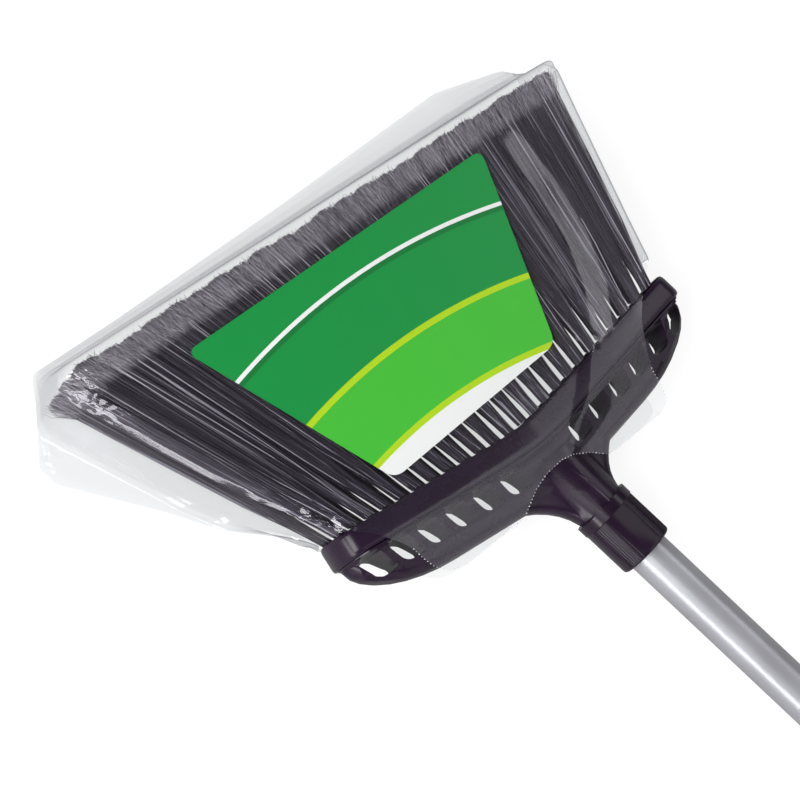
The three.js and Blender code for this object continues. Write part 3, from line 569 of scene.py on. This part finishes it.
# Columns are packed closer over the turn at the short side and over the foot of the long one
SHORT_TURN = 14
SHORT_TURN_SHARE = 0.12
FOOT_SHARE = 0.7
FOOT_EXTRA = 14
FOOT_LEAST = 18
FOOT_MOST = 70
# Heights over the floor
FILM_ON_FLOOR = 0.35
SEAL_HEIGHT = 1.2
SHORT_SEAM_HEIGHT = 0.25
FLAP_EDGE = 0.5
FLAP_SWELL = 1.6
FLAP_ROUND = 6
UPPER_LEAST = 0.3
LOWER_LEAST = 0.12
# Lines from which the lower film sags to the floor and the long side's seam settles on it
SAG_START, SAG_LENGTH = -150, 60
SETTLE_START, SETTLE_LENGTH = -96, 44
# The turn at the short side, and the sloping wall at the long one
SHORT_ROUND = 6
ROUNDNESS = 2.2
SIDE_GAP = 4
WALL_LEAST = 3
WALL_AT_HEAD = 4
WALL_AT_TIPS = 11
WALL_SHARE = 0.6
SHOULDER = 12
# The long soft fold: its way, its steep side, its gentle side and where it fades
FOLD_WAY = [(-8, -54), (-34, -66), (-60, -86), (-80, -108), (-94, -134), (-103, -165), (-110, -200)]
FOLD_HEIGHT = 2.1
FOLD_STEEP = 5
FOLD_WIDTH = 15
FOLD_END, FOLD_FADE = -215, 40
# Broad unevenness all over
WAVE_WIDTH, WAVE_LENGTH = 45, 60
WAVE_HEIGHT = 0.5
WAVE_LIFT = 0.3
# Where small sharp creases bunch up, and how far each bunch reaches
CRUMPLES = [
    ((132, -122), 24),
    ((166, -268), 32),
    ((196, -262), 16),
    ((-176, -214), 16),
    ((-60, -86), 9),
]
CREASE_LEAN = 0.6
CREASE_WIDTH, CREASE_LENGTH, CREASE_HEIGHT = 8, 17, 6.5
FINE_WIDTH, FINE_LENGTH, FINE_HEIGHT = 4, 6, 1.8
CREASE_LEVEL = 0.4
CREASE_DROP = 2.6
# Heights are held back this near to the short and the long edge
SHORT_FADE, LONG_FADE = 8, 4
LOWER_REST = 2


def by_table(table, value):
    """A value between the places of a table, which run either up or down."""
    sign = 1 if table[-1][0] > table[0][0] else -1
    if (value - table[0][0]) * sign <= 0:
        return table[0][1]
    for (a, low), (b, high) in zip(table, table[1:]):
        if (value - b) * sign <= 0:
            return mix(low, high, (value - a) / (b - a))
    return table[-1][1]


def along_curve(points, share):
    """A point at a share of an open curve's length."""
    lengths = [math.dist(a, b) for a, b in zip(points, points[1:])]
    left = share * sum(lengths)
    for (a, b), length in zip(zip(points, points[1:]), lengths):
        if left <= length:
            return Vector(a).lerp(Vector(b), left / length)
        left -= length
    return Vector(points[-1])


def up_of(x, y):
    """How far a point lies above the bar's middle line, towards the handle."""
    turned = ARM_ANGLE * smooth_step((x + 16) / 40)
    drop = max(0, x - BEND_X) * math.tan(ARM_ANGLE)
    return (y - BEND_Y + drop) * math.cos(turned)


def line_of(x, y):
    return y + CUT_SLOPE * x


def cover_height(x, y):
    """Height of the taut upper film over the head or the fibre."""
    up = up_of(x, y)
    if up > FACE_START:
        return by_table(HEAD_HEIGHTS, up)
    return by_table(FACE_HEIGHTS, FACE_START - up)


def row_line(down):
    """The line that a row of film follows below the head, and how far it has fallen to its seal."""
    if down <= TIPS_SHARE:
        return mix(FIRST_LINE, TIPS_LINE, (down - LIP_SHARE) / (TIPS_SHARE - LIP_SHARE)), 0
    fall = (down - TIPS_SHARE) / (1 - TIPS_SHARE)
    return mix(TIPS_LINE, SEAL_LINE, fall**0.8), fall


def row_way(down):
    """The plan of one row of film from the short to the long side, and its fall to the seal."""
    shares = [i / WAY_STEPS for i in range(WAY_STEPS + 1)]
    if down < LIP_SHARE:
        short, long = SHORT_EDGE[0][1], by_table(LONG_EDGE, FIRST_LINE)
        way = []
        for share in shares:
            x = mix(short, long, share)
            below = Vector((x, FIRST_LINE - CUT_SLOPE * x))
            way.append(along_curve(CUT_CURVE, share).lerp(below, down / LIP_SHARE))
        return way, 0
    line, fall = row_line(down)
    short, long = by_table(SHORT_EDGE, line), by_table(LONG_EDGE, line)
    way = []
    for share in shares:
        x = mix(short, long, share)
        there = mix(line, by_table(SEALED_EDGE, x), fall**3)
        way.append(Vector((x, there - CUT_SLOPE * x)))
    return way, fall


def row_of_film(down, count):
    """The places of one row: plan, ways to the short and the long edge, and fall to the seal."""
    way, fall = row_way(down)
    spans = [(b - a).length for a, b in zip(way, way[1:])]
    length = sum(spans)
    slack = way[-1].x - by_table(LONG_BUNDLE, line_of(*way[-1]))
    foot = clamp(slack + FOOT_EXTRA, FOOT_LEAST, FOOT_MOST)
    packing = [(0, 0), (SHORT_TURN_SHARE, SHORT_TURN), (FOOT_SHARE, length - foot), (1, length)]
    places = []
    passed, step = 0, 0
    for i in range(count + 1):
        reach = by_table(packing, i / count)
        while step < len(spans) - 1 and passed + spans[step] < reach:
            passed += spans[step]
            step += 1
        spot = way[step].lerp(way[step + 1], min(1, (reach - passed) / spans[step]))
        places.append((spot, reach, length - reach, fall))
    return places


def fold_lift(x, y):
    """The long soft fold that runs from the neck down over the short side."""
    best = None
    for a, b in zip(FOLD_WAY, FOLD_WAY[1:]):
        start, end = Vector(a), Vector(b)
        way = end - start
        share = clamp((Vector((x, y)) - start).dot(way) / way.length_squared, 0, 1)
        away = Vector((x, y)) - start.lerp(end, share)
        if best is None or away.length < best[0]:
            best = (away.length, away.x * way.y - away.y * way.x)
    distance, side = best
    fade = smooth_step((y - FOLD_END) / FOLD_FADE)
    if side > 0:
        return FOLD_HEIGHT * max(0, 1 - distance / FOLD_WIDTH) * fade
    return FOLD_HEIGHT * smooth_step(1 - distance / FOLD_STEEP) * fade


def crumple(x, y, seed, middle, reach):
    """Sharp small creases that fade away from a middle point."""
    near = smooth_step(1 - math.dist((x, y), middle) / reach)
    if near <= 0:
        return 0
    across = (x + CREASE_LEAN * y) / CREASE_WIDTH
    along = (y - CREASE_LEAN * x) / CREASE_LENGTH
    broad = abs(noise.noise(Vector((across, along, seed))))
    fine = abs(noise.noise(Vector((x / FINE_WIDTH, y / FINE_LENGTH, seed + 5))))
    height = CREASE_HEIGHT * (CREASE_LEVEL - broad) + FINE_HEIGHT * (CREASE_LEVEL - fine)
    return near * (height - CREASE_DROP)


def film_height(spot, reach, left, fall, top):
    """Height of the upper or the lower film at a place of a row."""
    x, y = spot
    line = line_of(x, y)
    floor = floor_at(y) + FILM_ON_FLOOR
    high = cover_height(x, y)
    low = mix(-high, floor, smooth_step((SAG_START - line) / SAG_LENGTH))
    settle = smooth_step((SETTLE_START - line) / SETTLE_LENGTH)
    if fall > 0:
        high = mix(high, floor + SEAL_HEIGHT, by_table(END_SHAPE, fall))
        low = floor
    face = high if top else low
    if reach < SHORT_ROUND:
        seam = mix((high + low) / 2, floor + SHORT_SEAM_HEIGHT, smooth_step(fall * 2))
        fullness = (1 - (1 - reach / SHORT_ROUND) ** ROUNDNESS) ** (1 / ROUNDNESS)
        return mix(seam, face, fullness)
    flap_top = floor + (FLAP_EDGE + FLAP_SWELL * min(1, left / FLAP_ROUND) if top else 0)
    seam = mix((high + low) / 2, flap_top, settle)
    slack = by_table(LONG_EDGE, line) - by_table(LONG_BUNDLE, line)
    wall = min(mix(WALL_AT_HEAD, WALL_AT_TIPS, settle), max(WALL_LEAST, slack * WALL_SHARE))
    flap = max(0, max(0, slack - SIDE_GAP) * settle - wall)
    part = clamp((left - flap) / (wall + SHOULDER), 0, 1)
    return mix(seam, face, by_table(WALL_SHAPE, part))


def bag_piece(name, shape, material):
    bmesh.ops.transform(shape, matrix=FROM_MM, verts=shape.verts)
    finish_piece(name, mesh_of(name, shape), material, "head", "poly_bag")


def film_sheet(name, material, top):
    """One film of the bag, with its long fold and the crumples at its corners."""
    wave_seed, crease_seed = (3, 2) if top else (8, 6)
    shape = bmesh.new()
    across_count, down_count = ((240, 190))
    bmesh.ops.create_grid(shape, x_segments=across_count, y_segments=down_count, size=1)
    rows = [row_of_film(row / down_count, across_count) for row in range(down_count + 1)]
    for vert in shape.verts:
        row = round((vert.co.y + 1) / 2 * down_count)
        column = round((vert.co.x + 1) / 2 * across_count)
        spot, reach, left, fall = rows[row][column]
        x, y = spot
        z = film_height(spot, reach, left, fall, top)
        wave = noise.noise(Vector((x / WAVE_WIDTH, y / WAVE_LENGTH, wave_seed)))
        lift = wave * WAVE_HEIGHT + WAVE_LIFT
        if top:
            lift += fold_lift(x, y)
        for middle, size in CRUMPLES:
            lift += crumple(x, y, crease_seed, middle, size)
        inside = min(1, reach / SHORT_FADE, left / LONG_FADE)
        if top or z > floor_at(y) + LOWER_REST:
            z += lift * inside * (1 if top else -1)
        least = floor_at(y) + (UPPER_LEAST if top else LOWER_LEAST)
        vert.co = Vector((x, y, max(z, least)))
    bmesh.ops.recalc_face_normals(shape, faces=shape.faces)
    bag_piece(name, shape, material)


def perforations(name):
    """Whitened nicks along the film's die-cut edge, where it tore away round the neck."""
    shape = bmesh.new()
    arc = CUT_CURVE[TORN]
    count = int(sum(math.dist(a, b) for a, b in zip(arc, arc[1:])) / NICK_PITCH)
    for i in range(count):
        place = along_curve(arc, (i + 0.5) / count)
        height = cover_height(*place) + 0.25
        bmesh.ops.create_icosphere(
            shape,
            subdivisions=1,
            radius=NICK_RADIUS * shuffle.uniform(0.6, 1.2),
            matrix=Matrix.Translation((place.x, place.y, height)),
        )
    bag_piece(name, shape, NICK)


film_sheet("bag_film_upper", FILM, True)
film_sheet("bag_film_lower", UNDER_FILM, False)
perforations("film_nicks")


def seen_as_white(tree):
    """One for the rays that find the studio white, and one for the rays off gloss."""
    rays = add_node(tree, "LightPath")
    camera, through = rays.outputs["Is Camera Ray"], rays.outputs["Is Transmission Ray"]
    seen = add_node(tree, "Math", {0: camera, 1: through}, operation="MAXIMUM")
    return seen, rays.outputs["Is Glossy Ray"]


def backdrop():
    """A white floor under the broom. The rays that see it find it lit, so that it reads white."""
    material, tree = new_material("white_floor")
    seen, glossy = seen_as_white(tree)
    dimmer = add_node(tree, "Math", {0: glossy, 1: 0.2}, operation="MULTIPLY")
    either = add_node(tree, "Math", {0: seen, 1: dimmer}, operation="MAXIMUM")
    soft = add_node(tree, "BsdfDiffuse", {"Color": hex_colour("8c8c8c")})
    lift = add_node(tree, "Emission", {"Color": (1, 1, 1, 1), "Strength": 0.82})
    nothing = add_node(tree, "Emission", {"Strength": 0})
    extra = add_node(tree, "MixShader", {"Fac": either, 1: nothing, 2: lift})
    both = add_node(tree, "AddShader", {0: soft, 1: extra})
    add_node(tree, "OutputMaterial", {"Surface": both})
    shape = bmesh.new()
    bmesh.ops.create_circle(shape, cap_ends=True, segments=64, radius=6)
    mesh = mesh_of("floor", shape)
    mesh.materials.append(material)
    floor = bpy.data.objects.new("floor", mesh)
    floor.location.z = -0.5 * MM  # clear of the pieces that lie on it
    bpy.context.scene.collection.objects.link(floor)


def studio_world():
    """A room that lights evenly. In gloss its walls are white low down and dim above."""
    world = bpy.data.worlds.new("studio")
    world.use_nodes = True
    tree = world.node_tree
    tree.nodes.clear()
    seen, glossy = seen_as_white(tree)
    way = add_node(tree, "TexCoord").outputs["Generated"]
    up = add_node(tree, "SeparateXYZ", {"Vector": way}).outputs["Z"]
    wall_range = {"From Min": 0.2, "From Max": 0.05, "To Max": 0.7}
    wall = add_node(tree, "MapRange", {"Value": up, **wall_range})
    gloss = add_node(tree, "Math", {0: wall, 1: 0.05}, operation="MAXIMUM")
    room, even, white = [
        add_node(tree, "Background", {"Color": (1, 1, 1, 1), "Strength": strength})
        for strength in (gloss, 0.34, 1)
    ]
    light = add_node(tree, "MixShader", {"Fac": glossy, 1: even, 2: room})
    both = add_node(tree, "MixShader", {"Fac": seen, 1: light, 2: white})
    add_node(tree, "OutputWorld", {"Surface": both})
    bpy.context.scene.world = world


def lamp(name, place, target, size, power, in_gloss=True):
    """A soft box that faces a point of the broom. Places are in metres along the broom."""
    light = bpy.data.lights.new(name, "AREA")
    light.shape = "RECTANGLE"
    light.size, light.size_y = size
    light.energy = power
    holder = bpy.data.objects.new(name, light)
    start, end = BROOM @ Vector(place), BROOM @ Vector(target)
    holder.location = start
    holder.rotation_mode = "QUATERNION"
    holder.rotation_quaternion = (end - start).to_track_quat("-Z", "Y")
    holder.visible_glossy = in_gloss
    bpy.context.scene.collection.objects.link(holder)


def photo_camera(tilt, roll, aim, distance, lens):
    """The camera is tilted from the face's normal along the bar, and turned with the handle."""
    away = Vector((math.sin(tilt), 0, math.cos(tilt)))
    side = Vector((math.cos(tilt), 0, -math.sin(tilt)))
    up_handle = Vector((0, 1, 0))
    right = -math.sin(roll) * side + math.cos(roll) * up_handle
    down = math.cos(roll) * side + math.sin(roll) * up_handle
    data = bpy.data.cameras.new("photo_camera")
    data.sensor_width = 36
    data.lens = lens
    data.clip_start = 0.05
    camera = bpy.data.objects.new("photo_camera", data)
    turned = Matrix((right, -down, away)).transposed().to_4x4()
    camera.matrix_world = BROOM @ Matrix.Translation(Vector(aim) + away * distance) @ turned
    bpy.context.scene.collection.objects.link(camera)
    bpy.context.scene.camera = camera


backdrop()
studio_world()
lamp("key_box", (0.95, -0.35, 1.0), (0, -0.1, 0), (0.8, 0.7), 14.5)
lamp("foot_box", (0.4, -1.5, 0.9), (0, -0.15, 0), (1.0, 0.6), 8, in_gloss=False)
lamp("side_strip", (1.35, 0.0, 0.42), (0, -0.1, 0), (1.8, 0.26), 13.5)
lamp("fold_strip", (-1.05, 0.02, 1.14), (-0.09, -0.13, 0), (0.8, 0.34), 2.0)
lamp("head_box", (-0.45, 0.95, 1.05), (0, -0.05, 0), (1.5, 1.1), 4.6)
photo_camera(math.radians(24), math.radians(43.25), (0.0367, -0.1405, 0), 1.3, 104.8)
bpy.context.scene.view_settings.view_transform = "Standard"
